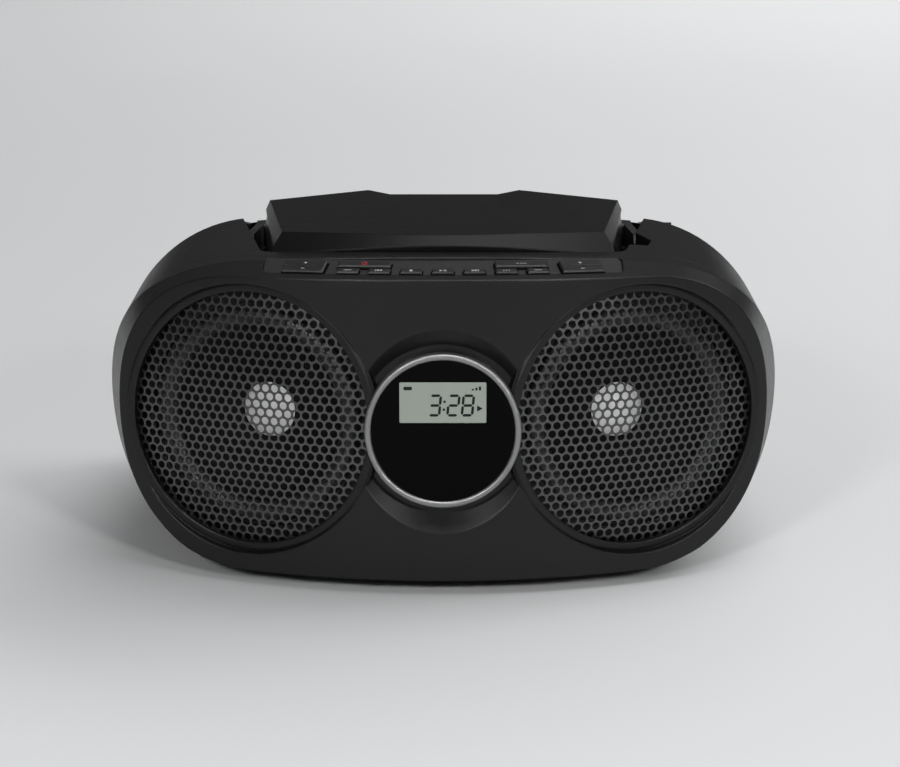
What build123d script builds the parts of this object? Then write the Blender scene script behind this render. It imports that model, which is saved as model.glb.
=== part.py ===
from build123d import *
import os
from math import asin, cos, degrees, radians, sin, sqrt, tan

# Portable stereo with a top-loading disc player, radio, carry handle and battery compartment.
# Origin on the floor under the middle of the cabinet, +X to the listener's right,
# +Y from the front panel towards the back, +Z up. All sizes are in millimetres.

# ---------------------------------------------------------------- driving dimensions
HALF_W = 151.0
HALF_D = 113.0
BASE_Z = 6.0
SHOULDER_Z = 144.0
MIDDLE_Z = 75.0
WALL = 2.4
REAR_ROUND = 14.0

FRONT_RADIUS = 250.0
FRONT_LEAN = 3.0
PARTING = 20.0

SPEAKER_X = 85.0
SPEAKER_Z = 72.3
SPEAKER_YAW = degrees(asin(SPEAKER_X / FRONT_RADIUS))
OPENING_R = 57.4
LAND_R = 59.0
LAND_SINK = 5.0
BAFFLE_DEPTH = 12.0
SURROUND_R = 43.4
ROLL_R = 4.8

DISPLAY_Z = 71.6
DISH_R = 45.2
DISH_DROP = 1.0
DISH_DEPTH = 5.2
RING_OUTER = 33.2
RING_INNER = 30.4

STRIP_SLOPE = 0.36
STRIP_LEVEL = 133.2
STRIP_FLAT = 88.0
STRIP_CROWN = 7.2
STRIP_FRONT = 4.0
STRIP_BACK = 17.4
STRIP_HALF = 76.5
FACE_TOP = 0.9
PANEL_TOP = 2.4
PANEL_T = 1.8
BUTTON_GAP = 0.4

BAY_FRONT = 28.0
LID_FRONT = 30.0
BAY_CORNER_X = 79.0
BAY_HALF = 95.6
BAY_WIDE_Y = 15.0
BAY_BACK = 80.0
BAY_FLOOR = 116.0
DECK_Z = 130.0
DISC_Y = -14.0
WELL_R = 62.0
WELL_Z = 124.0

LID_AXIS_Y = 42.0
LID_AXIS_Z = 137.5
LID_REAR = 50.0
LID_LOW = 131.2
LID_T = 2.0

ARM_Y = 8.0
ARM_Z = 128.0
ARM_X = 88.2
ARM_T = 3.8
PIN_R = 2.5
RUN = 0.05

os.makedirs("parts", exist_ok=True)


def save(part, name):
    part.label = name
    export_step(part, f"parts/{name}.step")


def front_y(z):
    return -HALF_D + (z - BASE_Z) * tan(radians(FRONT_LEAN))


def bow(x):
    return FRONT_RADIUS - sqrt(FRONT_RADIUS**2 - x**2)


def block(x0, x1, y0, y1, z0, z1):
    """Plain box between two corners."""
    centre = ((x0 + x1) / 2, (y0 + y1) / 2, (z0 + z1) / 2)
    return Pos(*centre) * Box(x1 - x0, y1 - y0, z1 - z0)


def rod(axis, centre, radius, length):
    """Cylinder with its middle at centre and its axis along X, Y or Z."""
    turns = {"X": (0, 90, 0), "Y": (90, 0, 0), "Z": (0, 0, 0)}
    return Location(centre, turns[axis]) * Cylinder(radius, length)


def tube(axis, centre, outer, inner, length):
    return rod(axis, centre, outer, length) - rod(axis, centre, inner, length + 1)


# ---------------------------------------------------------------- the cabinet's outer form
def outline(half_w, low, high, middle, flat, crown_top, crown_low, full):
    """Edges of a closed rounded outline in X and Z: crowned or straight top and foot, round sides."""
    top = (flat, high - crown_top)
    side = (half_w, middle)
    foot = (flat, low + crown_low)
    reach = full * (half_w - flat)
    dip = reach * 2 * crown_top / flat
    lift = reach * 2 * crown_low / flat
    rise = full * (top[1] - middle)
    drop = full * (middle - foot[1])
    with BuildLine() as line:
        if crown_top > 0:
            ThreePointArc((0, high), (flat / 2, high - crown_top / 4), top)
        else:
            Line((0, high), top)
        Bezier(top, (top[0] + reach, top[1] - dip), (side[0], side[1] + rise), side)
        Bezier(side, (side[0], side[1] - drop), (foot[0] + reach, foot[1] + lift), foot)
        if crown_low > 0:
            ThreePointArc(foot, (flat / 2, low + crown_low / 4), (0, low))
        else:
            Line(foot, (0, low))
        mirror(about=Plane.YZ)
    return line.line


# Each section: y, half width, underside, top, crown of the top.
MAIN_SECTIONS = (
    (-125.0, HALF_W, BASE_Z, 141.3, 5.4),
    (0.0, HALF_W, BASE_Z, SHOULDER_Z, 0.0),
    (HALF_D, 140.0, 10.0, 122.0, 0.0),
)


def main_block(inset):
    with BuildPart() as body:
        for y, half_w, low, high, crown in MAIN_SECTIONS:
            back = min(y, HALF_D - inset)
            with BuildSketch(Plane.XZ.offset(-back)):
                make_face(outline(half_w - inset, low + inset, high - inset, MIDDLE_Z, 85, crown, 0, 0.5523).edges())
        loft(ruled=True)
        rear = body.faces().sort_by(Axis.Y)[-1]
        fillet(rear.edges(), REAR_ROUND - inset)
    return body.part


def flared_front(inset):
    """Widens from the front panel's rim to the main block; its top is the control strip's slope."""
    with BuildPart() as flare:
        for y in (-125.0, 125.0):
            back = y + HALF_D
            with BuildSketch(Plane.XZ.offset(-y)):
                make_face(
                    outline(
                        131.7 + 0.25 * back - inset,
                        BASE_Z - 0.16 * back + inset,
                        STRIP_LEVEL + STRIP_SLOPE * back - 1.06 * inset,
                        SPEAKER_Z,
                        STRIP_FLAT,
                        STRIP_CROWN,
                        2.4,
                        0.58,
                    ).edges()
                )
        loft(ruled=True)
    return flare.part


def bowed_drum(offset):
    """Upright drum whose surface is the bowed, leaning front panel moved towards the back."""
    axis_y = front_y(SPEAKER_Z) + FRONT_RADIUS / cos(radians(FRONT_LEAN)) + offset
    return Location((0, axis_y, SPEAKER_Z), (-FRONT_LEAN, 0, 0)) * Cylinder(FRONT_RADIUS, 420)


def cabinet_form(inset):
    return main_block(inset) & flared_front(inset) & bowed_drum(inset)


outer_form = cabinet_form(0)
inner_form = cabinet_form(WALL)


def speaker_plane(side, depth):
    """Plane facing out of the speaker on one side, depth mm inside the panel's surface."""
    yaw = radians(SPEAKER_YAW)
    lean = radians(FRONT_LEAN)
    normal = Vector(side * sin(yaw), -cos(yaw) * cos(lean), cos(yaw) * sin(lean))
    origin = Vector(side * SPEAKER_X, front_y(SPEAKER_Z) + bow(SPEAKER_X), SPEAKER_Z) - normal * depth
    across = Vector(cos(yaw), side * sin(yaw), 0)
    return Plane(origin=origin, x_dir=across, z_dir=normal)


def speaker_disc(side, depth, thick, radius, inner=0.0):
    """Disc or ring facing out of a speaker: outer face at depth, thick mm deep."""
    plane = speaker_plane(side, depth + thick)
    with BuildPart() as disc:
        with BuildSketch(plane):
            Circle(radius)
            if inner > 0:
                Circle(inner, mode=Mode.SUBTRACT)
        extrude(amount=thick)
    return disc.part


def speaker_cone(side, depth, thick, front_r, back_r):
    """Tapered disc: front_r at depth, back_r at depth + thick."""
    with BuildPart() as cone:
        with BuildSketch(speaker_plane(side, depth)):
            Circle(front_r)
        with BuildSketch(speaker_plane(side, depth + thick)):
            Circle(back_r)
        loft()
    return cone.part


def display_plane(depth):
    lean = radians(FRONT_LEAN)
    normal = Vector(0, -cos(lean), sin(lean))
    origin = Vector(0, front_y(DISPLAY_Z), DISPLAY_Z) - normal * depth
    return Plane(origin=origin, x_dir=Vector(1, 0, 0), z_dir=normal)


def display_disc(depth, thick, radius, inner=0.0):
    with BuildPart() as disc:
        with BuildSketch(display_plane(depth + thick)):
            Circle(radius)
            if inner > 0:
                Circle(inner, mode=Mode.SUBTRACT)
        extrude(amount=thick)
    return disc.part


def display_box(depth, thick, width, height, raise_by=0.0):
    with BuildPart() as box:
        with BuildSketch(display_plane(depth + thick)):
            with Locations((0, raise_by)):
                RectangleRounded(width, height, 0.8)
        extrude(amount=thick)
    return box.part


def display_cone(depth, thick, front_r, back_r, drop):
    """Tapered disc in the display's plane, its front circle lowered by drop."""
    with BuildPart() as cone:
        with BuildSketch(display_plane(depth)):
            with Locations((0, -drop)):
                Circle(front_r)
        with BuildSketch(display_plane(depth + thick)):
            Circle(back_r)
        loft()
    return cone.part

# ---------------------------------------------------------------- front cabinet
SIDES = {"left": -1, "right": 1}
DISH_BACK = DISH_DEPTH + WALL

solid = outer_form - display_cone(-2.0, DISH_DEPTH + 2, DISH_R + 2, RING_OUTER + 3, DISH_DROP)
front_shell = solid - bowed_drum(PARTING)
front_shell -= inner_form - display_disc(0, DISH_BACK, DISH_R + 3)
for side in SIDES.values():
    front_shell -= speaker_disc(side, LAND_SINK - 12, 12, LAND_R)
    front_shell += speaker_disc(side, LAND_SINK, 5, LAND_R)
    front_shell += speaker_disc(side, -8, LAND_SINK + 13, LAND_R + 1.8, inner=LAND_R) & solid
front_shell -= display_disc(-12, 12 + DISH_BACK, RING_OUTER)
front_shell += display_disc(4, DISH_BACK - 4, RING_OUTER - 0.2, 28.6)
for side in SIDES.values():
    front_shell -= speaker_disc(side, LAND_SINK - 1, 30, OPENING_R)
    tube_depth = BAFFLE_DEPTH - LAND_SINK + 1.4
    tube_wall = speaker_disc(side, LAND_SINK + 1, tube_depth, OPENING_R + 2.2, inner=OPENING_R)
    baffle = speaker_disc(side, BAFFLE_DEPTH, 2.4, OPENING_R + 2.2)
    baffle -= speaker_disc(side, BAFFLE_DEPTH - 1, 5, SURROUND_R + ROLL_R + 1.2)
    lip = speaker_disc(side, LAND_SINK - 0.4, 2.3, OPENING_R + 1.0, inner=55.2)
    front_shell += (tube_wall + baffle + lip) - display_disc(-12, 16, RING_OUTER)

strip_y = front_y(138) + FRONT_RADIUS


def strip_band(front, back, half, low, high):
    """Upright band that follows the front's bow between two distances behind it."""
    band = rod("Z", (0, strip_y + front, (low + high) / 2), FRONT_RADIUS, high - low)
    band -= rod("Z", (0, strip_y + back, (low + high) / 2), FRONT_RADIUS, high - low)
    return band & block(-half, half, -130, 0, low, high)


recess = strip_band(STRIP_FRONT, STRIP_BACK, STRIP_HALF, 122, 160)
recess = fillet(recess.edges().filter_by(Axis.Z), 3.2)
for side in SIDES.values():
    recess -= speaker_disc(side, -12, 28, LAND_R + 1.8)
front_shell -= recess
save(front_shell, "front_cabinet")

# ---------------------------------------------------------------- control strip
BOARD_TOP = 9.0
BOARD_T = 1.6
SWITCH_H = 1.8
CAP_TOP = -0.8
CAP_LOW = 5.7
STEM_LOW = 6.1

# name: x, distance behind the front edge, width, depth
KEYS = {
    "power_button": (-33.0, 11.5, 22.6, 4.4),
    "source_button": (33.0, 11.5, 22.6, 4.4),
    "mode_button": (-40.0, 6.3, 9.2, 3.7),
    "previous_button": (-26.7, 6.3, 9.2, 3.7),
    "stop_button": (-13.3, 6.3, 9.2, 3.7),
    "play_button": (0.0, 6.3, 9.2, 3.7),
    "next_button": (13.3, 6.3, 9.2, 3.7),
    "program_button": (26.7, 6.3, 9.2, 3.7),
    "bass_button": (40.0, 6.3, 9.2, 3.7),
}
ROCKERS = {
    "preset_rocker": (-58.6, 9.05, 18.2, 8.9),
    "volume_rocker": (58.6, 9.05, 18.2, 8.9),
}
ROCKER_GAP = 0.6
ROCKER_AXIS = 3.0


def strip_plane(x, back, depth):
    """Plane on the sloping control strip at x and back mm behind its front edge, depth mm inside."""
    y = front_y(138) + back + bow(x)
    z = STRIP_LEVEL + STRIP_SLOPE * (y + HALF_D) - STRIP_CROWN * (x / STRIP_FLAT) ** 2
    fall = -2 * STRIP_CROWN * x / STRIP_FLAT**2
    normal = Vector(-fall, -STRIP_SLOPE, 1).normalized()
    turn = asin(x / FRONT_RADIUS)
    across = Vector(cos(turn), sin(turn), fall * cos(turn) + STRIP_SLOPE * sin(turn)).normalized()
    return Plane(origin=Vector(x, y, z) - normal * depth, x_dir=across, z_dir=normal)


def key_block(place, width, deep, top, low):
    x, back = place
    plane = strip_plane(x, back, low)
    return plane.location * Pos(0, 0, (low - top) / 2) * Box(width, deep, low - top)


panel_zone = strip_band(STRIP_FRONT - 1.4, STRIP_BACK + 1.6, STRIP_HALF + 2.4, 110, 150)
panel = (flared_front(PANEL_TOP + 0.02) - flared_front(PANEL_TOP + PANEL_T)) & panel_zone & inner_form
face_zone = strip_band(STRIP_FRONT + 0.15, STRIP_BACK - 0.15, STRIP_HALF - 0.15, 110, 160)
face_zone = fillet(face_zone.edges().filter_by(Axis.Z), 3.0)
panel += (flared_front(FACE_TOP) - flared_front(PANEL_TOP + 0.1)) & face_zone
board = (flared_front(BOARD_TOP) - flared_front(BOARD_TOP + BOARD_T)) & panel_zone & inner_form
for side in SIDES.values():
    board -= speaker_disc(side, -2, 24, LAND_R + 2.2)
    panel -= speaker_disc(side, -10, 30, LAND_R + 1.9)
switches = []
for name, (x, back, width, deep) in KEYS.items():
    place = (x, back)
    panel -= key_block(place, width + 2 * BUTTON_GAP, deep + 2 * BUTTON_GAP, -2, 8)
    cap = key_block(place, width, deep, CAP_TOP, CAP_LOW)
    top_face = cap.faces().sort_by(Axis.Z)[-1]
    cap = chamfer(top_face.edges(), 0.5)
    cap += key_block(place, 2.4, 2.0, CAP_LOW - 0.1, STEM_LOW)
    save(cap, name)
    switches.append(key_block(place, 4.4, 2.8, BOARD_TOP - SWITCH_H, BOARD_TOP - 0.15))
for name, (x, back, width, deep) in ROCKERS.items():
    place = (x, back)
    panel -= key_block(place, width + 2 * ROCKER_GAP, deep + 2 * ROCKER_GAP, -2, 8)
    cap = key_block(place, width, deep, CAP_TOP, 4.6)
    top_face = cap.faces().sort_by(Axis.Z)[-1]
    cap = chamfer(top_face.edges(), 0.5)
    cap -= strip_plane(x, back, CAP_TOP).location * Box(width - 1.6, 0.7, 0.8)
    cap += strip_plane(x, back, ROCKER_AXIS).location * Rot(0, 90, 0) * Cylinder(0.9, width + 0.5)
    for shift in (-2.6, 2.6):
        cap += key_block((x, back + shift), 2.4, 1.8, 4.5, STEM_LOW - 0.1)
        switches.append(key_block((x, back + shift), 4.4, 2.4, BOARD_TOP - SWITCH_H, BOARD_TOP - 0.15))
    save(cap, name)
save(panel, "button_panel")
save(board, "button_board")
clear = speaker_disc(-1, -10, 30, LAND_R + 1.9) + speaker_disc(1, -10, 30, LAND_R + 1.9)
save(Compound(children=[switch - clear for switch in switches]), "button_switches")

# ---------------------------------------------------------------- display
ring = display_disc(-1.75, 5.75, RING_OUTER, RING_INNER)
ring_edges = ring.edges().filter_by(GeomType.CIRCLE).sort_by(Axis.Y)[:2]
ring = fillet(ring_edges, 1.2)
save(ring, "display_ring")
glass = display_disc(-0.3, 1.6, RING_INNER)
save(glass, "display_window")
save(display_box(1.6, 4.0, 37.4, 18.0, 12.0), "lcd_panel")

# ---------------------------------------------------------------- speakers
GRILLE_R = 56.8
GRILLE_BALL = 305.0
GRILLE_APEX = 2.6
GRILLE_T = 1.1
DRIVER_FACE = BAFFLE_DEPTH + 2.4
CONE_R = 38.5
CAP_BALL = 16.7

for word, side in SIDES.items():
    ball = speaker_plane(side, GRILLE_APEX).location * Pos(0, 0, -GRILLE_BALL)
    grille = ball * Sphere(GRILLE_BALL) - ball * Sphere(GRILLE_BALL - GRILLE_T)
    grille = grille & speaker_disc(side, 0, 11, GRILLE_R)
    grille -= display_disc(-12, 16 + DISH_BACK, RING_OUTER + 0.1)
    save(grille, f"speaker_grille_{word}")
    flange = speaker_disc(side, DRIVER_FACE, 1.4, 54.4, inner=SURROUND_R + ROLL_R)
    basket = speaker_cone(side, DRIVER_FACE + 1.4, 18.0, 51.0, 21.0)
    basket -= speaker_cone(side, DRIVER_FACE + 1.4, 16.6, 49.2, 19.6)
    basket += flange
    basket -= speaker_disc(side, DRIVER_FACE + 10, 20, 11.0)
    save(basket, f"speaker_basket_{word}")
    cone = speaker_cone(side, DRIVER_FACE + 0.8, 13.0, CONE_R, 10.0)
    cone -= speaker_cone(side, DRIVER_FACE - 0.1, 13.0, CONE_R, 10.0)
    cone -= speaker_disc(side, DRIVER_FACE + 10, 10, 10.0)
    save(cone, f"speaker_cone_{word}")
    roll_at = speaker_plane(side, DRIVER_FACE + 0.8).location
    roll = roll_at * Torus(SURROUND_R, ROLL_R) - roll_at * Torus(SURROUND_R, ROLL_R - 0.7)
    roll = roll & speaker_disc(side, DRIVER_FACE - 6, 6.8, 52.0)
    save(roll, f"speaker_surround_{word}")
    cap_at = speaker_plane(side, DRIVER_FACE + 6.6).location * Pos(0, 0, -CAP_BALL)
    cap = cap_at * Sphere(CAP_BALL) - cap_at * Sphere(CAP_BALL - 0.6)
    cap = cap & speaker_disc(side, DRIVER_FACE + 4, 7.7, 20.0)
    save(cap, f"speaker_dust_cap_{word}")
    magnet = speaker_disc(side, DRIVER_FACE + 19.4, 12.0, 24.0)
    magnet += speaker_disc(side, DRIVER_FACE + 14.4, 6.0, 8.6)
    save(magnet, f"speaker_magnet_{word}")

# ---------------------------------------------------------------- rear cabinet
bay_y = front_y(143) + BAY_FRONT


def plan(front, corner_x, wide_x, wide_y, back_y, round_front):
    """Closed plan shape: bowed front edge, sides that spread towards the back."""
    corner = (corner_x, front + bow(corner_x))
    with BuildSketch() as sketch:
        with BuildLine():
            ThreePointArc((-corner_x, corner[1]), (0, front), corner)
            right = (corner, (wide_x, wide_y), (wide_x, back_y))
            left = ((-wide_x, back_y), (-wide_x, wide_y), (-corner_x, corner[1]))
            Polyline(*right, *left)
        make_face()
        fillet(sketch.vertices().sort_by(Axis.Y)[:2], round_front)
    return sketch.sketch


def bay(grow, low, high):
    half = BAY_HALF + grow
    shape = plan(bay_y - grow, BAY_CORNER_X + grow, half, BAY_WIDE_Y, BAY_BACK + grow, 9.0 + grow)
    return Pos(0, 0, low) * extrude(shape, high - low)


def finger_recess(grow, low):
    points = ((74, -52 - grow), (90 + grow, -51 - grow), (92.5 + grow, -41), (82, -20 + grow), (74, -20 + grow))
    shape = make_face(Polyline(*points, points[0]).edges())
    return Pos(0, 0, low) * extrude(shape, 160 - low)


BATTERY = {"x": 79.0, "low": 27.0, "high": 85.0, "front": 80.0}
DOOR_X = 80.0
DOOR_LOW = 26.0
DOOR_HIGH = 86.0
DOOR_AXIS = (111.6, 27.4)
DOOR_PIN_R = 1.2
ANT_Y = 94.0
ANT_Z = 121.5
ANT_X = 111.0
BEVEL_DROP = 6.5
INLET = (108.0, 45.0)
bevel = Plane(origin=(0, ANT_Y, ANT_Z - BEVEL_DROP), x_dir=(1, 0, 0), z_dir=(0, 1, 1)).location
bevel_cut = bevel * Pos(0, 0, 40) * Box(400, 160, 80)
rear_form = outer_form - bevel_cut

rear_shell = (outer_form & bowed_drum(PARTING)) - inner_form
rear_shell -= bay(0, 100, 160)
rear_shell += (bay(WALL, 111, 160) - bay(0, 113.5, 161) - bay(-3, 110, 114)) & outer_form
pocket = finger_recess(2.0, 130) & outer_form & bowed_drum(PARTING)
rear_shell += pocket - bay(0, 113.5, 161)
rear_shell -= finger_recess(0, 132)
for side in (-1, 1):
    boss = rod("X", (side * 97.2, ARM_Y, ARM_Z), 6.0, 7.4)
    rear_shell += boss & outer_form
    rear_shell -= rod("X", (side * 96.0, ARM_Y, ARM_Z), PIN_R + RUN, 7.4)
rear_shell += (bevel * Pos(0, 0, -WALL / 2) * Box(400, 60, WALL)) & outer_form
rear_shell -= bevel_cut
rear_shell -= block(-DOOR_X - 0.8, DOOR_X + 0.8, 105, 120, DOOR_LOW - 1.2, DOOR_HIGH + 0.6)
for side in (-1, 1):
    x0, x1 = sorted((side * (DOOR_X + 0.8), side * (DOOR_X + 6.0)))
    rear_shell += block(x0, x1, 106, 112, 23.5, 31.5)
    rear_shell -= rod("X", (side * (DOOR_X + 1.2), *DOOR_AXIS), DOOR_PIN_R + RUN, 6)
rear_shell -= block(INLET[0] - 11, INLET[0] + 11, 100, 120, INLET[1] - 8, INLET[1] + 8)
for x, y in ((-60, -40), (48, -40), (-60, 44), (48, 44)):
    rear_shell += rod("Z", (x, y, 14), 3.2, 12)
for x, y in ((67, 44), (94, 66)):
    rear_shell += rod("Z", (x, y, 11.5), 3.2, 5)

SCREWS = ((-122, 50), (122, 60), (-100, 90), (100, 90))
for x, z in SCREWS:
    rear_shell += rod("Y", (x, 101, z), 4.6, 20)
    rear_shell -= rod("Y", (x, 111.7, z), 3.2, 2.8)
    rear_shell -= rod("Y", (x, 101, z), 1.5, 22)
screws = [rod("Y", (x, 111.4, z), 3.2, 2.2) + rod("Y", (x, 103, z), 1.5, 15) for x, z in SCREWS]

FEET = ((-87, -57), (87, -57), (-80, 78), (80, 78))
for x, y in FEET:
    foot = block(x - 10.5, x + 10.5, y - 13, y + 13, 1.6, 14)
    foot = fillet(foot.edges().filter_by(Axis.Z), 5)
    foot = chamfer(foot.faces().sort_by(Axis.Z)[0].edges(), 1.2)
    rear_shell += foot - inner_form
feet = []
for x, y in FEET:
    pad = rod("Z", (x, y, 0.8), 7.0, 1.6)
    feet.append(fillet(pad.edges().sort_by(Axis.Z)[0], 0.6))
save(rear_shell, "rear_cabinet")
save(Compound(children=screws), "case_screws")
save(Compound(children=feet), "rubber_feet")

# ---------------------------------------------------------------- battery compartment and mains inlet
tray = block(-BATTERY["x"], BATTERY["x"], BATTERY["front"], 109.2, BATTERY["low"], BATTERY["high"])
tray -= block(
    -BATTERY["x"] + 1.6,
    BATTERY["x"] - 1.6,
    BATTERY["front"] + 1.6,
    112,
    BATTERY["low"] + 1.6,
    BATTERY["high"] - 1.6,
)
tray += block(-BATTERY["x"] + 1, BATTERY["x"] - 1, BATTERY["front"] + 1, 96, 55.4, 56.6)
save(tray, "battery_tray")
contacts = []
for side in (-1, 1):
    for z in (42.0, 70.0):
        face = side * (BATTERY["x"] - 1.6)
        x0, x1 = sorted((face, face - side * 0.5))
        contacts.append(block(x0, x1, 88, 102, z - 8, z + 8) + rod("X", (face - side * 1.2, 95, z), 3.0, 1.6))
save(Compound(children=contacts), "battery_contacts")
door = block(-DOOR_X, DOOR_X, 110.8, 113, DOOR_LOW, DOOR_HIGH)
for row in range(3):
    door -= block(-14, 14, 112.4, 114, DOOR_HIGH - 6 - 3 * row, DOOR_HIGH - 4.8 - 3 * row)
door += rod("X", (0, *DOOR_AXIS), DOOR_PIN_R, 2 * DOOR_X + 6)
save(door, "battery_door")

x, z = INLET
inlet = block(x - 11, x + 11, 92, 113, z - 8, z + 8)
socket = block(x - 7.5, x + 7.5, 100, 114, z - 4.3, z + 4.3)
inlet -= fillet(socket.edges().filter_by(Axis.Y), 4.2)
pins = [rod("Y", (x + shift, 104.5, z), 1.2, 9.0) for shift in (-4.3, 4.3)]
save(inlet, "mains_inlet")
save(Compound(children=pins), "mains_pins")

# ---------------------------------------------------------------- electronics
save(block(-68, 56, -48, 52, 20, 21.6), "main_board")
fins = block(-52, -8, 36, 39, 21.6, 52)
for step in range(8):
    fins += block(-51 + 5.6 * step, -49.4 + 5.6 * step, 39, 50, 21.6, 52)
save(fins, "heat_sink")
cans = ((10, 30, 8, 26), (30, 30, 8, 26), (20, 6, 5, 14), (-30, 0, 4, 11))
caps = [rod("Z", (x, y, 21.6 + h / 2), r, h) for x, y, r, h in cans]
save(Compound(children=caps), "capacitors")
core = block(61, 101, 40, 72, 14, 50) - block(69, 93, 38, 74, 21, 43)
core += block(78, 84, 40, 72, 14, 50)
winding = block(70, 92, 34, 78, 22, 42) - block(77.5, 84.5, 39.5, 72.5, 20, 44)
save(core, "transformer_core")
save(winding, "transformer_winding")

# ---------------------------------------------------------------- disc deck
lid_y = front_y(143) + LID_FRONT
deck = bay(0, 113.5, BAY_FLOOR)
deck_shape = plan(lid_y + 1.5, 74.5, 84.0, 30, 48, 7)
deck_inner = plan(lid_y + 4.0, 72.0, 81.5, 30, 45.5, 5)
deck += Pos(0, 0, 113.5) * extrude(deck_shape, DECK_Z - 113.5)
deck -= Pos(0, 0, 113) * extrude(deck_inner, 14.5)
well_wall = rod("Z", (0, DISC_Y, (121.5 + DECK_Z) / 2), WELL_R + 2.4, DECK_Z - 121.5)
deck += well_wall & Pos(0, 0, 113) * extrude(deck_shape, 30)
deck -= rod("Z", (0, DISC_Y, WELL_Z + 5), WELL_R, 10)
deck -= rod("Z", (0, DISC_Y, 122), 17.5, 8)
deck -= block(10, 61, DISC_Y - 8, DISC_Y + 8, 118, 126)
POST_X = 76.6
for side in (-1, 1):
    post = block(side * POST_X - 1.4, side * POST_X + 1.4, LID_AXIS_Y - 3.2, LID_AXIS_Y + 3.2, 128, LID_AXIS_Z)
    post += rod("X", (side * POST_X, LID_AXIS_Y, LID_AXIS_Z), 3.2, 2.8)
    deck += post
    deck -= rod("X", (side * POST_X, LID_AXIS_Y, LID_AXIS_Z), 1.5 + RUN, 4)
save(deck, "disc_deck")

chassis = block(-48, 74, -58, 30, 107, 109)
for x, y in ((-44, -44), (44, -44), (-44, 16), (44, 16)):
    chassis += rod("Z", (x, y, 115.2), 2.6, 12.6)
for y in (DISC_Y - 12, DISC_Y + 12):
    for x in (14, 70):
        chassis += block(x - 1.5, x + 1.5, y - 3, y + 3, 109, 116.5)
        chassis -= rod("X", (x, y, 113.5), 1.5, 4)
SCREW_Y = DISC_Y + 23.5
chassis += block(68, 71, SCREW_Y - 3, SCREW_Y + 3, 109, 116.5) - rod("X", (69.5, SCREW_Y, 113.5), 1.4 + RUN, 6)
chassis -= rod("Z", (0, DISC_Y, 108), 2.2, 4)
rods = [rod("X", (42, y, 113.5), 1.5, 59) for y in (DISC_Y - 12, DISC_Y + 12)]
save(chassis, "mechanism_chassis")
save(Compound(children=rods), "guide_rods")
motor = rod("Z", (0, DISC_Y, 114), 12.0, 10) - rod("Z", (0, DISC_Y, 114), 1.0 + RUN, 12)
save(motor, "spindle_motor")
turntable = rod("Z", (0, DISC_Y, 125.6), 15.0, 2.4)
turntable += rod("Z", (0, DISC_Y, 128.1), 7.4, 2.8)
turntable = chamfer(turntable.faces().sort_by(Axis.Z)[-1].edges(), 1.0)
turntable += rod("Z", (0, DISC_Y, 117.5), 1.0, 14)
save(turntable, "turntable")

SLED_X = 25.0
sled = block(SLED_X - 8, SLED_X + 8, DISC_Y - 15.5, DISC_Y + 15.5, 110.5, 117)
sled += block(SLED_X - 6, SLED_X + 6, DISC_Y - 6, DISC_Y + 6, 117, 123)
sled += rod("Z", (SLED_X, DISC_Y, 123.8), 3.2, 1.8)
sled += block(SLED_X - 3, SLED_X + 3, DISC_Y + 15.5, DISC_Y + 27, 111, 116)
for y in (DISC_Y - 12, DISC_Y + 12):
    sled -= rod("X", (SLED_X, y, 113.5), 1.5 + RUN, 18)
sled -= rod("X", (SLED_X, SCREW_Y, 113.5), 1.4 + RUN, 18)
save(sled, "laser_sled")
screw = rod("X", (39.2, SCREW_Y, 113.5), 1.4, 62)
save(screw, "sled_screw")
sled_motor = rod("X", (2, SCREW_Y, 114.8), 5.6, 20) - rod("X", (10, SCREW_Y, 113.5), 1.4 + RUN, 14)
save(sled_motor, "sled_motor")

# ---------------------------------------------------------------- disc lid
def lid_section(y, points):
    full = points + tuple((-x, z) for x, z in reversed(points))
    with BuildSketch(Plane.XZ.offset(-y)) as sketch:
        with BuildLine():
            Polyline(*full, full[0])
        make_face()
    return sketch.sketch


def lid_form(inset, low):
    front = ((34, 148.6 - inset), (66.5 - inset, 148.3 - inset), (71.5 - inset, 142), (74.5 - inset, low))
    rear = ((36, 148.9 - inset), (84 - inset, 143.9 - inset), (86 - inset, 139.5 - inset), (87.2 - inset, low))
    form = loft([lid_section(-85, front), lid_section(LID_REAR, rear)], ruled=True)
    form = form & Location((0, lid_y + inset + FRONT_RADIUS, 140)) * Cylinder(FRONT_RADIUS, 60)
    slant = Location((0, -74.2 + inset, 146.0), (-50, 0, 0)) * Pos(0, 230, 0)
    return form & (slant * Cylinder(230, 900))


SCOOP_FLOOR = 146.8
SCOOP_DEPTH = 2.6


def scoop(drop):
    """Shallow hollow with sloping sides in the back of the lid, lowered by drop."""
    with BuildPart() as tool:
        with BuildSketch(Plane.XY.offset(SCOOP_FLOOR - drop)):
            with Locations((0, 29.5)):
                Rectangle(52, 61)
        with BuildSketch(Plane.XY.offset(SCOOP_FLOOR + SCOOP_DEPTH - drop)):
            with Locations((0, 27)):
                Rectangle(78, 66)
        loft(ruled=True)
    return tool.part


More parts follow.
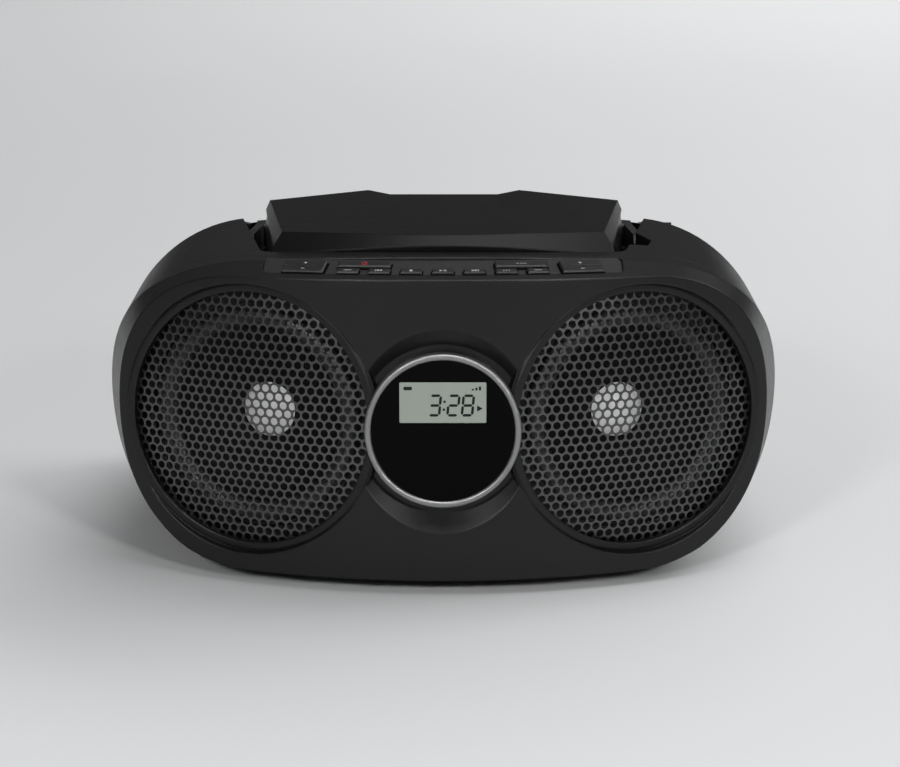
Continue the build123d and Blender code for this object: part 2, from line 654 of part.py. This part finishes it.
shell_top = lid_form(0, LID_LOW)
lid = shell_top - lid_form(LID_T, LID_LOW - 5) - block(-100, 100, LID_REAR - 1, 60, 100, LID_LOW + 8)
lid += scoop(LID_T) & shell_top
lid -= scoop(0)
lid -= block(-100, 100, 33, 60, 100, 139.2)
for side in (-1, 1):
    lug = block(side * 72.6 - 1.2, side * 72.6 + 1.2, LID_AXIS_Y - 3, LID_AXIS_Y + 3, LID_AXIS_Z, 146)
    lug = (lug & shell_top) + rod("X", (side * 72.6, LID_AXIS_Y, LID_AXIS_Z), 3.0, 2.4)
    lid += lug
    lid -= rod("X", (side * 72.6, LID_AXIS_Y, LID_AXIS_Z), 1.5, 4)
clamp = rod("Z", (0, DISC_Y, 141.0), 16.6, 12.0) - rod("Z", (0, DISC_Y, 138), 15.0, 8.0)
lid += clamp & shell_top
lid += tube("Z", (0, DISC_Y, 134.6), 16.6, 11.2, 1.2)
lid -= block(73.0, 90, -56, -52, 128, 140.5)
save(lid, "disc_lid")
puck = rod("Z", (0, DISC_Y, 136.5), 14.2, 1.8) + rod("Z", (0, DISC_Y, 133.7), 10.6, 4.4)
puck -= rod("Z", (0, DISC_Y, 131.8), 8.0, 2.4)
save(puck, "disc_clamp")
lid_pins = [rod("X", (side * 74.7, LID_AXIS_Y, LID_AXIS_Z), 1.5, 6.6) for side in (-1, 1)]
save(Compound(children=lid_pins), "lid_pins")

# ---------------------------------------------------------------- carry handle
GRIP_Y0 = 60.0
GRIP_Y1 = 73.0
GRIP_TOP = 134.4
GRIP_END = 130.4
GRIP_H = 10.0
ARM_OUT = ARM_X + ARM_T
with BuildPart() as grip:
    with BuildSketch(Plane.XZ.offset(-GRIP_Y0)):
        with BuildLine():
            ThreePointArc((-ARM_OUT, GRIP_END), (0, GRIP_TOP), (ARM_OUT, GRIP_END))
            Line((ARM_OUT, GRIP_END), (ARM_OUT, GRIP_END - GRIP_H))
            ThreePointArc((ARM_OUT, GRIP_END - GRIP_H), (0, GRIP_TOP - GRIP_H), (-ARM_OUT, GRIP_END - GRIP_H))
            Line((-ARM_OUT, GRIP_END - GRIP_H), (-ARM_OUT, GRIP_END))
        make_face()
    extrude(amount=-(GRIP_Y1 - GRIP_Y0))
    fillet(grip.edges().filter_by(GeomType.CIRCLE), 2.6)
handle = grip.part
for side in (-1, 1):
    with BuildPart() as arm:
        with BuildSketch(Plane.YZ.offset(side * (ARM_X + ARM_T / 2))):
            with BuildLine():
                Polyline(
                    (ARM_Y - 1, ARM_Z + 7.0),
                    (GRIP_Y0 + 6, GRIP_END - 0.6),
                    (GRIP_Y0 + 6, GRIP_END - GRIP_H + 0.6),
                    (ARM_Y + 1, ARM_Z - 6.6),
                    (ARM_Y - 1, ARM_Z + 7.0),
                )
            make_face()
        extrude(amount=ARM_T / 2, both=True)
    handle += arm.part
    handle += rod("X", (side * (ARM_X + ARM_T / 2), ARM_Y, ARM_Z), 7.2, ARM_T)
    handle -= rod("X", (side * (ARM_X + ARM_T / 2), ARM_Y, ARM_Z), PIN_R, ARM_T + 1)
save(handle, "handle")
pin_len = 99.4 - ARM_X
handle_pins = [rod("X", (side * (ARM_X + pin_len / 2), ARM_Y, ARM_Z), PIN_R, pin_len) for side in (-1, 1)]
save(Compound(children=handle_pins), "handle_pins")

# ---------------------------------------------------------------- aerial
fork = rod("Y", (ANT_X, ANT_Y, ANT_Z), 1.2, 10.4)
for y in (ANT_Y - 4.2, ANT_Y + 4.2):
    fork += block(ANT_X - 4, ANT_X + 4, y - 1.0, y + 1.0, ANT_Z - 20, ANT_Z + 3)
save(fork - rear_form, "aerial_fork")
knuckle = rod("Y", (ANT_X, ANT_Y, ANT_Z), 3.2, 5.2)
knuckle += block(ANT_X - 7, ANT_X, ANT_Y - 2.4, ANT_Y + 2.4, ANT_Z - 2.4, ANT_Z + 2.4)
knuckle -= rod("Y", (ANT_X, ANT_Y, ANT_Z), 1.2 + RUN, 8)
STAGES = (("aerial_tube", 3.0, 2.45, 0.0), ("aerial_middle", 2.4, 1.75, 3.0), ("aerial_tip", 1.7, 0.0, 6.0))
ANT_TUBE_X1 = ANT_X - 6.5
ANT_LEN = 150.0
for name, outer_r, inner_r, lag in STAGES:
    x1 = ANT_TUBE_X1 - lag
    x0 = ANT_TUBE_X1 - ANT_LEN - lag
    stage = rod("X", ((x0 + x1) / 2, ANT_Y, ANT_Z), outer_r, x1 - x0)
    if name == "aerial_tube":
        stage += knuckle
    if inner_r > 0:
        stage -= rod("X", (x0 + (ANT_LEN - 2) / 2 - 0.5, ANT_Y, ANT_Z), inner_r, ANT_LEN - 1)
    if name == "aerial_tip":
        stage += rod("X", (x0 - 2.5, ANT_Y, ANT_Z), 2.9, 5.0)
    save(stage, name)
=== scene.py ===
"""Looks for the portable disc player and radio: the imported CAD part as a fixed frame, with perforated
grilles, a display, button symbols and procedural materials. Every length is in metres."""

import math

import bmesh
import bpy
from mathutils import Matrix, Vector


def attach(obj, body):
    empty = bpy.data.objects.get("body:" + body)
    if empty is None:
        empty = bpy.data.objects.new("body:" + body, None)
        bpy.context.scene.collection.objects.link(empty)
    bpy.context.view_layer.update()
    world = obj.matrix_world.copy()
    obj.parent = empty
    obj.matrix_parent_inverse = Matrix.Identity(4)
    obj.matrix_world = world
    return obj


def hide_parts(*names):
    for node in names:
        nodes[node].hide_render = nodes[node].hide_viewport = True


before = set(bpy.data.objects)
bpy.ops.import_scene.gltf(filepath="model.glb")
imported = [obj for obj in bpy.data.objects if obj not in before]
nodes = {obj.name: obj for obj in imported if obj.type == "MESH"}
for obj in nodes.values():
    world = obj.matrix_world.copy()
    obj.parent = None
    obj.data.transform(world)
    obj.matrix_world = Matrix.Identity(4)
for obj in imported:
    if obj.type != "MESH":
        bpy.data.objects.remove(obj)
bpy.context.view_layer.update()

MM = 0.001

# ---------------------------------------------------------------- sizes shared with part.py, in mm
FRONT_RADIUS = 250.0
FRONT_LEAN = math.radians(3.0)
HALF_DEPTH = 113.0
BASE_Z = 6.0
SPEAKER_X = 85.0
SPEAKER_Z = 72.3
SPEAKER_YAW = math.asin(SPEAKER_X / FRONT_RADIUS)
DISPLAY_Z = 71.6
STRIP_SLOPE = 0.36
STRIP_LEVEL = 133.2
STRIP_FLAT = 88.0
STRIP_CROWN = 7.2
STRIP_REF_Z = 138.0
CAP_TOP = -0.8

GRILLE_R = 56.7
GRILLE_BALL = 305.0
GRILLE_APEX = 2.6
GRILLE_THICK = 0.6
HOLE_PITCH = 4.12
HOLE_R = 1.7

WINDOW_DEPTH = -0.3
LCD_SIZE = (36.6, 17.4)
LCD_RAISE = 12.3


def front_y(z):
    return -HALF_DEPTH + (z - BASE_Z) * math.tan(FRONT_LEAN)


def bow(x):
    return FRONT_RADIUS - math.sqrt(FRONT_RADIUS**2 - x**2)


def place_at(origin, across, normal):
    """Matrix from a local frame in mm (x across, y up, z out of the surface) to the row frame in metres."""
    across = across.normalized()
    normal = normal.normalized()
    up = normal.cross(across)
    axes = Matrix((across, up, normal)).transposed().to_4x4()
    return Matrix.Translation(Vector(origin) * MM) @ axes @ Matrix.Scale(MM, 4)


def speaker_frame(side):
    yaw = SPEAKER_YAW
    ahead = math.cos(yaw)
    normal = Vector((side * math.sin(yaw), -ahead * math.cos(FRONT_LEAN), ahead * math.sin(FRONT_LEAN)))
    origin = (side * SPEAKER_X, front_y(SPEAKER_Z) + bow(SPEAKER_X), SPEAKER_Z)
    return place_at(origin, Vector((math.cos(yaw), side * math.sin(yaw), 0)), normal)


def display_frame():
    normal = Vector((0, -math.cos(FRONT_LEAN), math.sin(FRONT_LEAN)))
    return place_at((0, front_y(DISPLAY_Z), DISPLAY_Z), Vector((1, 0, 0)), normal)


def strip_frame(x, back):
    """Frame on the sloping control strip, at x and back mm behind its front edge."""
    y = front_y(STRIP_REF_Z) + back + bow(x)
    z = STRIP_LEVEL + STRIP_SLOPE * (y + HALF_DEPTH) - STRIP_CROWN * (x / STRIP_FLAT) ** 2
    fall = -2 * STRIP_CROWN * x / STRIP_FLAT**2
    turn = math.asin(x / FRONT_RADIUS)
    across = Vector((math.cos(turn), math.sin(turn), fall * math.cos(turn) + STRIP_SLOPE * math.sin(turn)))
    normal = Vector((-fall, -STRIP_SLOPE, 1))
    across = across - normal * across.dot(normal) / normal.length_squared
    return place_at((x, y, z), across, normal)


# ---------------------------------------------------------------- materials
def new_material(name):
    material = bpy.data.materials.new(name)
    material.use_nodes = True
    tree = material.node_tree
    shader = next(node for node in tree.nodes if node.type == "BSDF_PRINCIPLED")
    return material, tree, shader


def noise(tree, scale, detail=4.0, rough=0.6, stretch=None):
    """Noise texture on object coordinates; stretch gives a scale for each axis."""
    coords = tree.nodes.new("ShaderNodeTexCoord")
    texture = tree.nodes.new("ShaderNodeTexNoise")
    texture.inputs["Scale"].default_value = scale
    texture.inputs["Detail"].default_value = detail
    texture.inputs["Roughness"].default_value = rough
    source = coords.outputs["Object"]
    if stretch:
        mapping = tree.nodes.new("ShaderNodeMapping")
        mapping.inputs["Scale"].default_value = stretch
        tree.links.new(source, mapping.inputs["Vector"])
        source = mapping.outputs["Vector"]
    tree.links.new(source, texture.inputs["Vector"])
    return texture.outputs["Fac"]


def spread(tree, value, low, high):
    """Maps a noise value to the range low..high."""
    node = tree.nodes.new("ShaderNodeMapRange")
    node.inputs["From Min"].default_value = 0.3
    node.inputs["From Max"].default_value = 0.7
    node.inputs["To Min"].default_value = low
    node.inputs["To Max"].default_value = high
    tree.links.new(value, node.inputs["Value"])
    return node.outputs["Result"]


def tint(tree, value, dark, light):
    """Mixes two colours by a noise value."""
    mix = tree.nodes.new("ShaderNodeMix")
    mix.data_type = "RGBA"
    mix.inputs["A"].default_value = (*dark, 1)
    mix.inputs["B"].default_value = (*light, 1)
    tree.links.new(value, mix.inputs["Factor"])
    return mix.outputs["Result"]


def surface(
    name, colour, rough, metallic=0.0, rough_spread=0.06, tone=0.12, tone_scale=60.0,
    grain_scale=1400.0, grain=0.05, grain_depth=0.0002, specular=0.5, ior=1.5, coat=0.0, coat_rough=0.1,
    stretch=None, edge=0.0,
):
    """Moulded, painted or plated surface; tone, roughness and grain vary, and edge rounds the corners."""
    material, tree, shader = new_material(name)
    broad = noise(tree, tone_scale, 5.0)
    dark = tuple(c * (1 - tone) for c in colour)
    light = tuple(min(1.0, c * (1 + tone)) for c in colour)
    tree.links.new(tint(tree, broad, dark, light), shader.inputs["Base Color"])
    patches = noise(tree, tone_scale * 3.1, 6.0, 0.7)
    rough_map = spread(tree, patches, max(0.02, rough - rough_spread), rough + rough_spread)
    tree.links.new(rough_map, shader.inputs["Roughness"])
    fine = noise(tree, grain_scale, 3.0, 0.6, stretch)
    bump = tree.nodes.new("ShaderNodeBump")
    bump.inputs["Strength"].default_value = grain
    bump.inputs["Distance"].default_value = grain_depth
    tree.links.new(fine, bump.inputs["Height"])
    if edge > 0:
        bevel = tree.nodes.new("ShaderNodeBevel")
        bevel.samples = 6
        bevel.inputs["Radius"].default_value = edge
        tree.links.new(bevel.outputs["Normal"], bump.inputs["Normal"])
    tree.links.new(bump.outputs["Normal"], shader.inputs["Normal"])
    shader.inputs["Metallic"].default_value = metallic
    shader.inputs["Specular IOR Level"].default_value = specular
    shader.inputs["IOR"].default_value = ior
    shader.inputs["Coat Weight"].default_value = coat
    shader.inputs["Coat Roughness"].default_value = coat_rough
    return material


def paint(name, material):
    """Gives one CAD node one material."""
    obj = nodes[name]
    obj.data.materials.clear()
    obj.data.materials.append(material)


satin_black = surface(
    "satin_black", (0.004, 0.004, 0.0043), 0.34, rough_spread=0.04, tone=0.08, grain=0.12,
    specular=0.45, ior=1.42, edge=0.0012,
)
lid_black = surface(
    "lid_black", (0.004, 0.004, 0.0043), 0.34, rough_spread=0.03, tone=0.06, grain=0.1,
    specular=0.3, ior=1.3, edge=0.001,
)
textured_black = surface(
    "textured_black", (0.009, 0.009, 0.0095), 0.5, grain=0.35, grain_scale=2200.0, specular=0.4, edge=0.0005
)
deck_black = surface("deck_black", (0.012, 0.012, 0.013), 0.55, grain=0.3, grain_scale=1800.0, edge=0.0004)
button_black = surface("button_black", (0.006, 0.006, 0.0065), 0.34, grain=0.12, edge=0.0004)
gloss_black = surface(
    "gloss_black", (0.0008, 0.0008, 0.0009), 0.06, rough_spread=0.02, grain=0.008, specular=0.05
)
grille_paint = surface("grille_paint", (0.1, 0.1, 0.102), 0.3, metallic=0.85, grain=0.1, tone=0.15)
ring_silver = surface("ring_silver", (0.27, 0.27, 0.273), 0.4, metallic=0.9, tone=0.06, grain=0.05)
steel = surface("steel", (0.5, 0.5, 0.51), 0.3, metallic=1.0, tone=0.08, grain=0.1, stretch=(1, 8, 1))
chrome = surface("chrome", (0.75, 0.75, 0.76), 0.1, metallic=1.0, tone=0.03, rough_spread=0.03, grain=0.02)
black_steel = surface("black_steel", (0.02, 0.02, 0.022), 0.45, metallic=0.4, grain=0.2)
ferrite = surface("ferrite", (0.05, 0.05, 0.052), 0.7, grain=0.5, grain_scale=900.0)
cone_paper = surface(
    "cone_paper", (0.004, 0.004, 0.0042), 0.75, grain=0.6, grain_scale=1100.0, tone=0.3, specular=0.2
)
surround_foam = surface("surround_foam", (0.03, 0.03, 0.032), 0.4, grain=0.3, grain_scale=1500.0)
# Dust caps: the real caps are silver-white domes, so part of this near-white diffuse colour is their own
# colour and part is a painted reflection of the lamps that the metal dome would give.
dust_cap = surface("dust_cap", (0.96, 0.96, 0.96), 0.34, tone=0.02, grain=0.04, specular=0.7)
rubber = surface("rubber", (0.015, 0.015, 0.015), 0.8, grain=0.4, grain_scale=1200.0)
laminate = surface("laminate", (0.012, 0.09, 0.03), 0.4, grain=0.3, grain_scale=600.0, tone=0.2)
aluminium = surface("aluminium", (0.6, 0.6, 0.61), 0.38, metallic=1.0, grain=0.1, stretch=(1, 1, 12))
sleeve = surface("sleeve", (0.01, 0.014, 0.06), 0.3, grain=0.05)
copper = surface(
    "copper", (0.55, 0.22, 0.09), 0.35, metallic=0.8, grain=0.5, grain_scale=900.0, stretch=(1, 1, 9)
)
lcd_glass = surface("lcd_glass", (0.3, 0.335, 0.297), 0.4, tone=0.03, grain=0.02, specular=0.2)
lcd_ink = surface("lcd_ink", (0.006, 0.008, 0.007), 0.4, grain=0.02, specular=0.2)
legend = surface("legend", (0.4, 0.41, 0.42), 0.5, grain=0.1)
legend_red = surface("legend_red", (0.55, 0.008, 0.01), 0.45, grain=0.1)

LOOKS = {
    satin_black: ("front_cabinet", "rear_cabinet"),
    lid_black: ("disc_lid",),
    textured_black: ("handle", "battery_door", "button_panel", "mains_inlet", "battery_tray", "aerial_fork"),
    deck_black: ("disc_deck", "disc_clamp", "turntable", "laser_sled"),
    gloss_black: ("display_window",),
    ring_silver: ("display_ring",),
    steel: ("button_switches", "case_screws", "battery_contacts", "mains_pins", "mechanism_chassis",
            "guide_rods", "spindle_motor", "sled_motor", "sled_screw", "lid_pins", "handle_pins"),
    chrome: ("aerial_tube", "aerial_middle", "aerial_tip"),
    black_steel: ("speaker_basket_left", "speaker_basket_right", "transformer_core"),
    ferrite: ("speaker_magnet_left", "speaker_magnet_right"),
    cone_paper: ("speaker_cone_left", "speaker_cone_right"),
    surround_foam: ("speaker_surround_left", "speaker_surround_right"),
    dust_cap: ("speaker_dust_cap_left", "speaker_dust_cap_right"),
    grille_paint: ("speaker_grille_left", "speaker_grille_right"),
    rubber: ("rubber_feet",),
    laminate: ("button_board", "main_board"),
    aluminium: ("heat_sink",),
    sleeve: ("capacitors",),
    copper: ("transformer_winding",),
    lcd_glass: ("lcd_panel",),
    button_black: ("power_button", "source_button", "mode_button", "previous_button", "stop_button",
                   "play_button", "next_button", "program_button", "bass_button", "preset_rocker",
                   "volume_rocker"),
}
for material, members in LOOKS.items():
    for member in members:
        paint(member, material)


# ---------------------------------------------------------------- mesh pieces
def finish_piece(name, bm, matrix, material, body, smooth=False):
    """Turns a bmesh drawn in mm in a local frame into a piece that rides on a CAD body."""
    bm.transform(matrix)
    bmesh.ops.recalc_face_normals(bm, faces=bm.faces)
    mesh = bpy.data.meshes.new(name)
    bm.to_mesh(mesh)
    bm.free()
    for polygon in mesh.polygons:
        polygon.use_smooth = smooth
    mesh.materials.append(material)
    obj = bpy.data.objects.new(name, mesh)
    bpy.context.scene.collection.objects.link(obj)
    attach(obj, body)
    return obj


def slab(bm, points, low, high):
    """Flat prism from an outline in x and y, between two heights."""
    bottom = [bm.verts.new((x, y, low)) for x, y in points]
    top = [bm.verts.new((x, y, high)) for x, y in points]
    bm.faces.new(reversed(bottom))
    bm.faces.new(top)
    for i, vert in enumerate(bottom):
        j = (i + 1) % len(bottom)
        bm.faces.new((vert, bottom[j], top[j], top[i]))


HEX_STEPS = 12


def grille_mesh():
    """Domed sheet with a hexagonal pattern of round holes: one ring of faces around each hole."""
    bm = bmesh.new()
    row_step = HOLE_PITCH * math.sqrt(3) / 2
    corner = HOLE_PITCH / math.sqrt(3)
    found = {}

    def vertex(x, y, back):
        reach = math.hypot(x, y)
        if reach > GRILLE_R:
            x, y = x * GRILLE_R / reach, y * GRILLE_R / reach
            reach = GRILLE_R
        key = (round(x, 2), round(y, 2), back)
        if key not in found:
            depth = GRILLE_APEX + GRILLE_BALL - math.sqrt(GRILLE_BALL**2 - reach**2) + back
            found[key] = bm.verts.new((x, y, -depth))
        return found[key]

    def face(*verts):
        distinct = []
        for vert in verts:
            if vert not in distinct:
                distinct.append(vert)
        if len(distinct) > 2 and bm.faces.get(distinct) is None:
            bm.faces.new(distinct)

    rows = int(GRILLE_R / row_step) + 1
    for row in range(-rows, rows + 1):
        for column in range(-rows - 1, rows + 2):
            x = (column + 0.5 * (row % 2)) * HOLE_PITCH
            y = row * row_step
            if math.hypot(x, y) > GRILLE_R + 0.1:
                continue
            rim, hole = [], []
            for step in range(HEX_STEPS):
                angle = math.radians(30 * step + 30)
                reach = corner if step % 2 == 0 else HOLE_PITCH / 2
                rim.append((x + reach * math.cos(angle), y + reach * math.sin(angle)))
                hole.append((x + HOLE_R * math.cos(angle), y + HOLE_R * math.sin(angle)))
            for step in range(HEX_STEPS):
                after = (step + 1) % HEX_STEPS
                for back in (0.0, GRILLE_THICK):
                    face(
                        vertex(*rim[step], back), vertex(*rim[after], back),
                        vertex(*hole[after], back), vertex(*hole[step], back),
                    )
                face(
                    vertex(*hole[step], 0.0), vertex(*hole[after], 0.0),
                    vertex(*hole[after], GRILLE_THICK), vertex(*hole[step], GRILLE_THICK),
                )
    return bm


for word, side in (("left", -1), ("right", 1)):
    name = f"perforated_grille_{word}"
    grille = finish_piece(name, grille_mesh(), speaker_frame(side), grille_paint, "cabinet")
    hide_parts(f"speaker_grille_{word}")

# ---------------------------------------------------------------- display
LCD_FRONT = -WINDOW_DEPTH + 0.04
INK = LCD_FRONT + 0.03
INK_THICK = 0.02


def rounded(width, height, radius, centre=(0, 0), steps=5):
    """Outline of a rounded rectangle."""
    points = []
    for sx, sy, start in ((1, 1, 0), (-1, 1, 90), (-1, -1, 180), (1, -1, 270)):
        for step in range(steps + 1):
            angle = math.radians(start + 90 * step / steps)
            x = sx * (width / 2 - radius) + radius * math.cos(angle)
            y = sy * (height / 2 - radius) + radius * math.sin(angle)
            points.append((centre[0] + x, centre[1] + y))
    return points


bm = bmesh.new()
slab(bm, rounded(*LCD_SIZE, 0.5, (0, LCD_RAISE)), LCD_FRONT - 0.05, LCD_FRONT)
finish_piece("lcd_face", bm, display_frame(), lcd_glass, "cabinet")

DIGIT_W = 4.3
DIGIT_H = 8.4
SEG_T = 1.1
LEAN = 0.09
SEGMENTS = {"3": "abcdg", "2": "abdeg", "8": "abcdefg"}


def digit(bm, char, x, y):
    """Seven-segment digit, lower left corner at x, y."""
    half, mid = SEG_T / 2, y + DIGIT_H / 2
    spans = {
        "a": ((x, y + DIGIT_H), (x + DIGIT_W, y + DIGIT_H)), "g": ((x, mid), (x + DIGIT_W, mid)),
        "d": ((x, y), (x + DIGIT_W, y)), "f": ((x, mid), (x, y + DIGIT_H)), "e": ((x, y), (x, mid)),
        "b": ((x + DIGIT_W, mid), (x + DIGIT_W, y + DIGIT_H)), "c": ((x + DIGIT_W, y), (x + DIGIT_W, mid)),
    }
    for segment in SEGMENTS[char]:
        (x0, y0), (x1, y1) = spans[segment]
        along = Vector((x1 - x0, y1 - y0)).normalized()
        across = Vector((-along.y, along.x)) * half
        start, end = Vector((x0, y0)) + along * 0.18, Vector((x1, y1)) - along * 0.18
        points = (start, start + along * half + across, end - along * half + across, end,
                  end - along * half - across, start + along * half - across)
        slab(bm, [(p.x + (p.y - y) * LEAN, p.y) for p in points], INK - INK_THICK, INK)


bm = bmesh.new()
base_y = LCD_RAISE - 5.4
digit(bm, "3", -5.9, base_y)
digit(bm, "2", 1.9, base_y)
digit(bm, "8", 8.0, base_y)
for dot_y in (base_y + 2.4, base_y + 5.8):
    slab(bm, rounded(1.0, 1.0, 0.2, (0.2 + (dot_y - base_y) * LEAN, dot_y)), INK - INK_THICK, INK)
slab(bm, ((14.4, base_y + 1.6), (16.8, base_y + 2.9), (14.4, base_y + 4.2)), INK - INK_THICK, INK)
slab(bm, rounded(3.6, 1.5, 0.5, (-14.8, LCD_RAISE + 6.1)), INK - INK_THICK, INK)
for level in range(3):
    centre = (12.6 + 1.5 * level, LCD_RAISE + 5.6 + 0.25 * level)
    slab(bm, rounded(0.9, 0.7 + 0.5 * level, 0.1, centre), INK - INK_THICK, INK)
finish_piece("lcd_segments", bm, display_frame(), lcd_ink, "cabinet")

# ---------------------------------------------------------------- button symbols
LIFT = 0.05
SINK = 0.02


def bar(bm, x, y, width, height):
    slab(bm, ((x - width / 2, y - height / 2), (x + width / 2, y - height / 2),
              (x + width / 2, y + height / 2), (x - width / 2, y + height / 2)), -SINK, LIFT)


def arrow(bm, x, y, size, way):
    tail, tip, half = x - way * size / 2, x + way * size / 2, size * 0.55
    points = [(tail, y - half), (tip, y), (tail, y + half)]
    slab(bm, points if way > 0 else points[::-1], -SINK, LIFT)


def power_symbol(bm):
    steps = 20
    outer, inner = 1.15, 0.85
    arc = [math.radians(125 + 290 * i / steps) for i in range(steps + 1)]
    points = [(outer * math.cos(a), outer * math.sin(a)) for a in arc]
    points += [(inner * math.cos(a), inner * math.sin(a)) for a in reversed(arc)]
    for i in range(steps):
        quad = (points[i], points[i + 1], points[-i - 2], points[-i - 1])
        slab(bm, quad, -SINK, LIFT)
    bar(bm, 0, 0.85, 0.3, 1.1)


def draw_power(bm):
    power_symbol(bm)


def draw_previous(bm):
    bar(bm, -1.6, 0, 0.28, 1.3)
    arrow(bm, -0.7, 0, 1.15, -1)
    arrow(bm, 0.6, 0, 1.15, -1)


def draw_next(bm):
    bar(bm, 1.6, 0, 0.28, 1.3)
    arrow(bm, 0.7, 0, 1.15, 1)
    arrow(bm, -0.6, 0, 1.15, 1)


def draw_play(bm):
    arrow(bm, -0.8, 0, 1.2, 1)
    bar(bm, 0.7, 0, 0.3, 1.25)
    bar(bm, 1.25, 0, 0.3, 1.25)


def draw_stop(bm):
    bar(bm, 0, 0, 1.15, 1.15)


def draw_dashes(bm):
    for shift in (-1.5, 0, 1.5):
        bar(bm, shift, 0, 1.0, 0.32)


def draw_line(bm):
    bar(bm, 0, 0, 3.2, 0.32)


def draw_dots(bm):
    for shift in (-1.2, 0, 1.2):
        slab(bm, rounded(0.55, 0.55, 0.25, (shift, 0)), -SINK, LIFT)


def draw_plus_minus(bm):
    bar(bm, 0, 2.3, 1.5, 0.32)
    bar(bm, 0, 2.3, 0.32, 1.5)
    bar(bm, 0, -2.3, 1.5, 0.32)


SYMBOLS = {
    "power_button": (-33.0, 11.5, draw_power, legend_red),
    "source_button": (33.0, 11.5, draw_dashes, legend),
    "mode_button": (-40.0, 6.3, draw_line, legend),
    "previous_button": (-26.7, 6.3, draw_previous, legend),
    "stop_button": (-13.3, 6.3, draw_stop, legend),
    "play_button": (0.0, 6.3, draw_play, legend),
    "next_button": (13.3, 6.3, draw_next, legend),
    "program_button": (26.7, 6.3, draw_dots, legend),
    "bass_button": (40.0, 6.3, draw_line, legend),
    "preset_rocker": (-58.6, 9.05, draw_plus_minus, legend),
    "volume_rocker": (58.6, 9.05, draw_plus_minus, legend),
}
for key, (x, back, draw, ink) in SYMBOLS.items():
    bm = bmesh.new()
    draw(bm)
    at = strip_frame(x, back) @ Matrix.Translation((0, 0, -CAP_TOP))
    finish_piece(f"{key}_symbol", bm, at, ink, key)

# ---------------------------------------------------------------- floor, light and camera
FLOOR_TONE = (0.62, 0.625, 0.63)
ELEVATION = math.radians(14.0)
DISTANCE = 1.05
AIM = Vector((0.003, 0.0, 0.065))
LENS = 89.3


def floor():
    bm = bmesh.new()
    size = 9.0
    corners = ((-size, -size), (size, -size), (size, size), (-size, size))
    bm.faces.new([bm.verts.new((x, y, 0)) for x, y in corners])
    mesh = bpy.data.meshes.new("floor")
    bm.to_mesh(mesh)
    bm.free()
    obj = bpy.data.objects.new("floor", mesh)
    bpy.context.scene.collection.objects.link(obj)
    mesh.materials.append(
        surface("floor_paper", FLOOR_TONE, 0.75, tone=0.01, tone_scale=0.6, grain=0.02, specular=0.15)
    )


def area_light(name, location, target, size, power, diffuse=True, glossy=True):
    """Soft rectangular light, which may be left out of the diffuse light or the reflections."""
    data = bpy.data.lights.new(name, "AREA")
    data.shape = "RECTANGLE"
    data.size, data.size_y = size
    data.energy = power
    obj = bpy.data.objects.new(name, data)
    obj.location = location
    obj.rotation_euler = (Vector(target) - Vector(location)).to_track_quat("-Z", "Y").to_euler()
    obj.visible_diffuse = diffuse
    obj.visible_glossy = glossy
    bpy.context.scene.collection.objects.link(obj)


floor()
sun_data = bpy.data.lights.new("overhead", "SUN")
sun_data.energy = 0.92
sun_data.angle = math.radians(38)
sun = bpy.data.objects.new("overhead", sun_data)
sun.rotation_euler = Vector((0.2, 0.1, 1.0)).to_track_quat("Z", "Y").to_euler()
bpy.context.scene.collection.objects.link(sun)
MIDDLE = (0, 0, 0.07)
area_light("backdrop_soft", (1.5, 2.9, 2.3), (0.9, 2.4, 0), (4.5, 2.6), 92, glossy=False)
area_light("top_strip", (0.05, -0.42, 1.25), MIDDLE, (0.9, 0.22), 7, diffuse=False)
area_light("right_soft", (1.5, 0.5, 1.2), (0.4, 0.1, 0), (0.9, 0.9), 10)
area_light("grille_left", (-0.5, -1.25, 0.7), (-0.085, -0.08, 0.075), (0.2, 0.2), 6.5)
area_light("grille_right", (0.62, -1.25, 0.7), (0.085, -0.08, 0.075), (0.2, 0.2), 6.5)

world = bpy.data.worlds.new("studio")
world.use_nodes = True
sky = world.node_tree
coords = sky.nodes.new("ShaderNodeTexCoord")
height = sky.nodes.new("ShaderNodeSeparateXYZ")
ramp = sky.nodes.new("ShaderNodeValToRGB")
ramp.color_ramp.elements[0].color = (0.05, 0.05, 0.052, 1)
ramp.color_ramp.elements[1].color = (0.2, 0.203, 0.206, 1)
ramp.color_ramp.elements[1].position = 0.9
sky.links.new(coords.outputs["Generated"], height.inputs["Vector"])
sky.links.new(height.outputs["Z"], ramp.inputs["Fac"])
sky.links.new(ramp.outputs["Color"], sky.nodes["Background"].inputs["Color"])
bpy.context.scene.world = world
bpy.context.scene.view_settings.view_transform = "Standard"

camera_data = bpy.data.cameras.new("camera")
camera_data.lens = LENS
camera_data.sensor_width = 36.0
camera = bpy.data.objects.new("camera", camera_data)
camera.location = AIM + Vector((0, -math.cos(ELEVATION), math.sin(ELEVATION))) * DISTANCE
camera.rotation_euler = (math.pi / 2 - ELEVATION, 0, 0)
bpy.context.scene.collection.objects.link(camera)
bpy.context.scene.camera = camera
